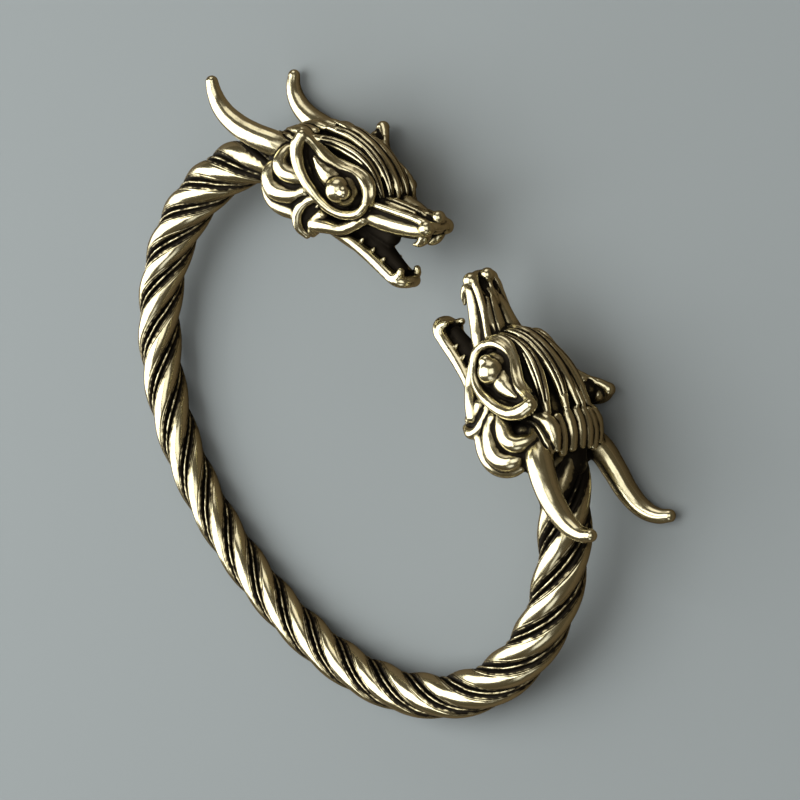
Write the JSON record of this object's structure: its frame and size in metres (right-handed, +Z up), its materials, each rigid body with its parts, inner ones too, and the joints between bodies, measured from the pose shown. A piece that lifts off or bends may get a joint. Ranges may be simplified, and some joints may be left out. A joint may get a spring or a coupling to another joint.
{
  "type": "arm ring",
  "caption": "Open arm ring of cast brass: a twisted hoop that ends in two horned dragon heads with open jaws, worn on the wrist or arm.",
  "frame": {"origin": "middle of the hoop's oval, in plan, on the surface that the ring rests on", "axes": "+Z up from that surface, +X along the oval's width from one head to the other, the gap between the two heads towards -Y and the hoop's back towards +Y"},
  "size_m": [0.0722, 0.0544, 0.0149],
  "materials": {
    "metal": "cast, polished on its high parts, with dark patina in its recesses"
  },
  "bodies": {
    "root": {"arm_ring": "metal"}
  },
  "joints": []
}
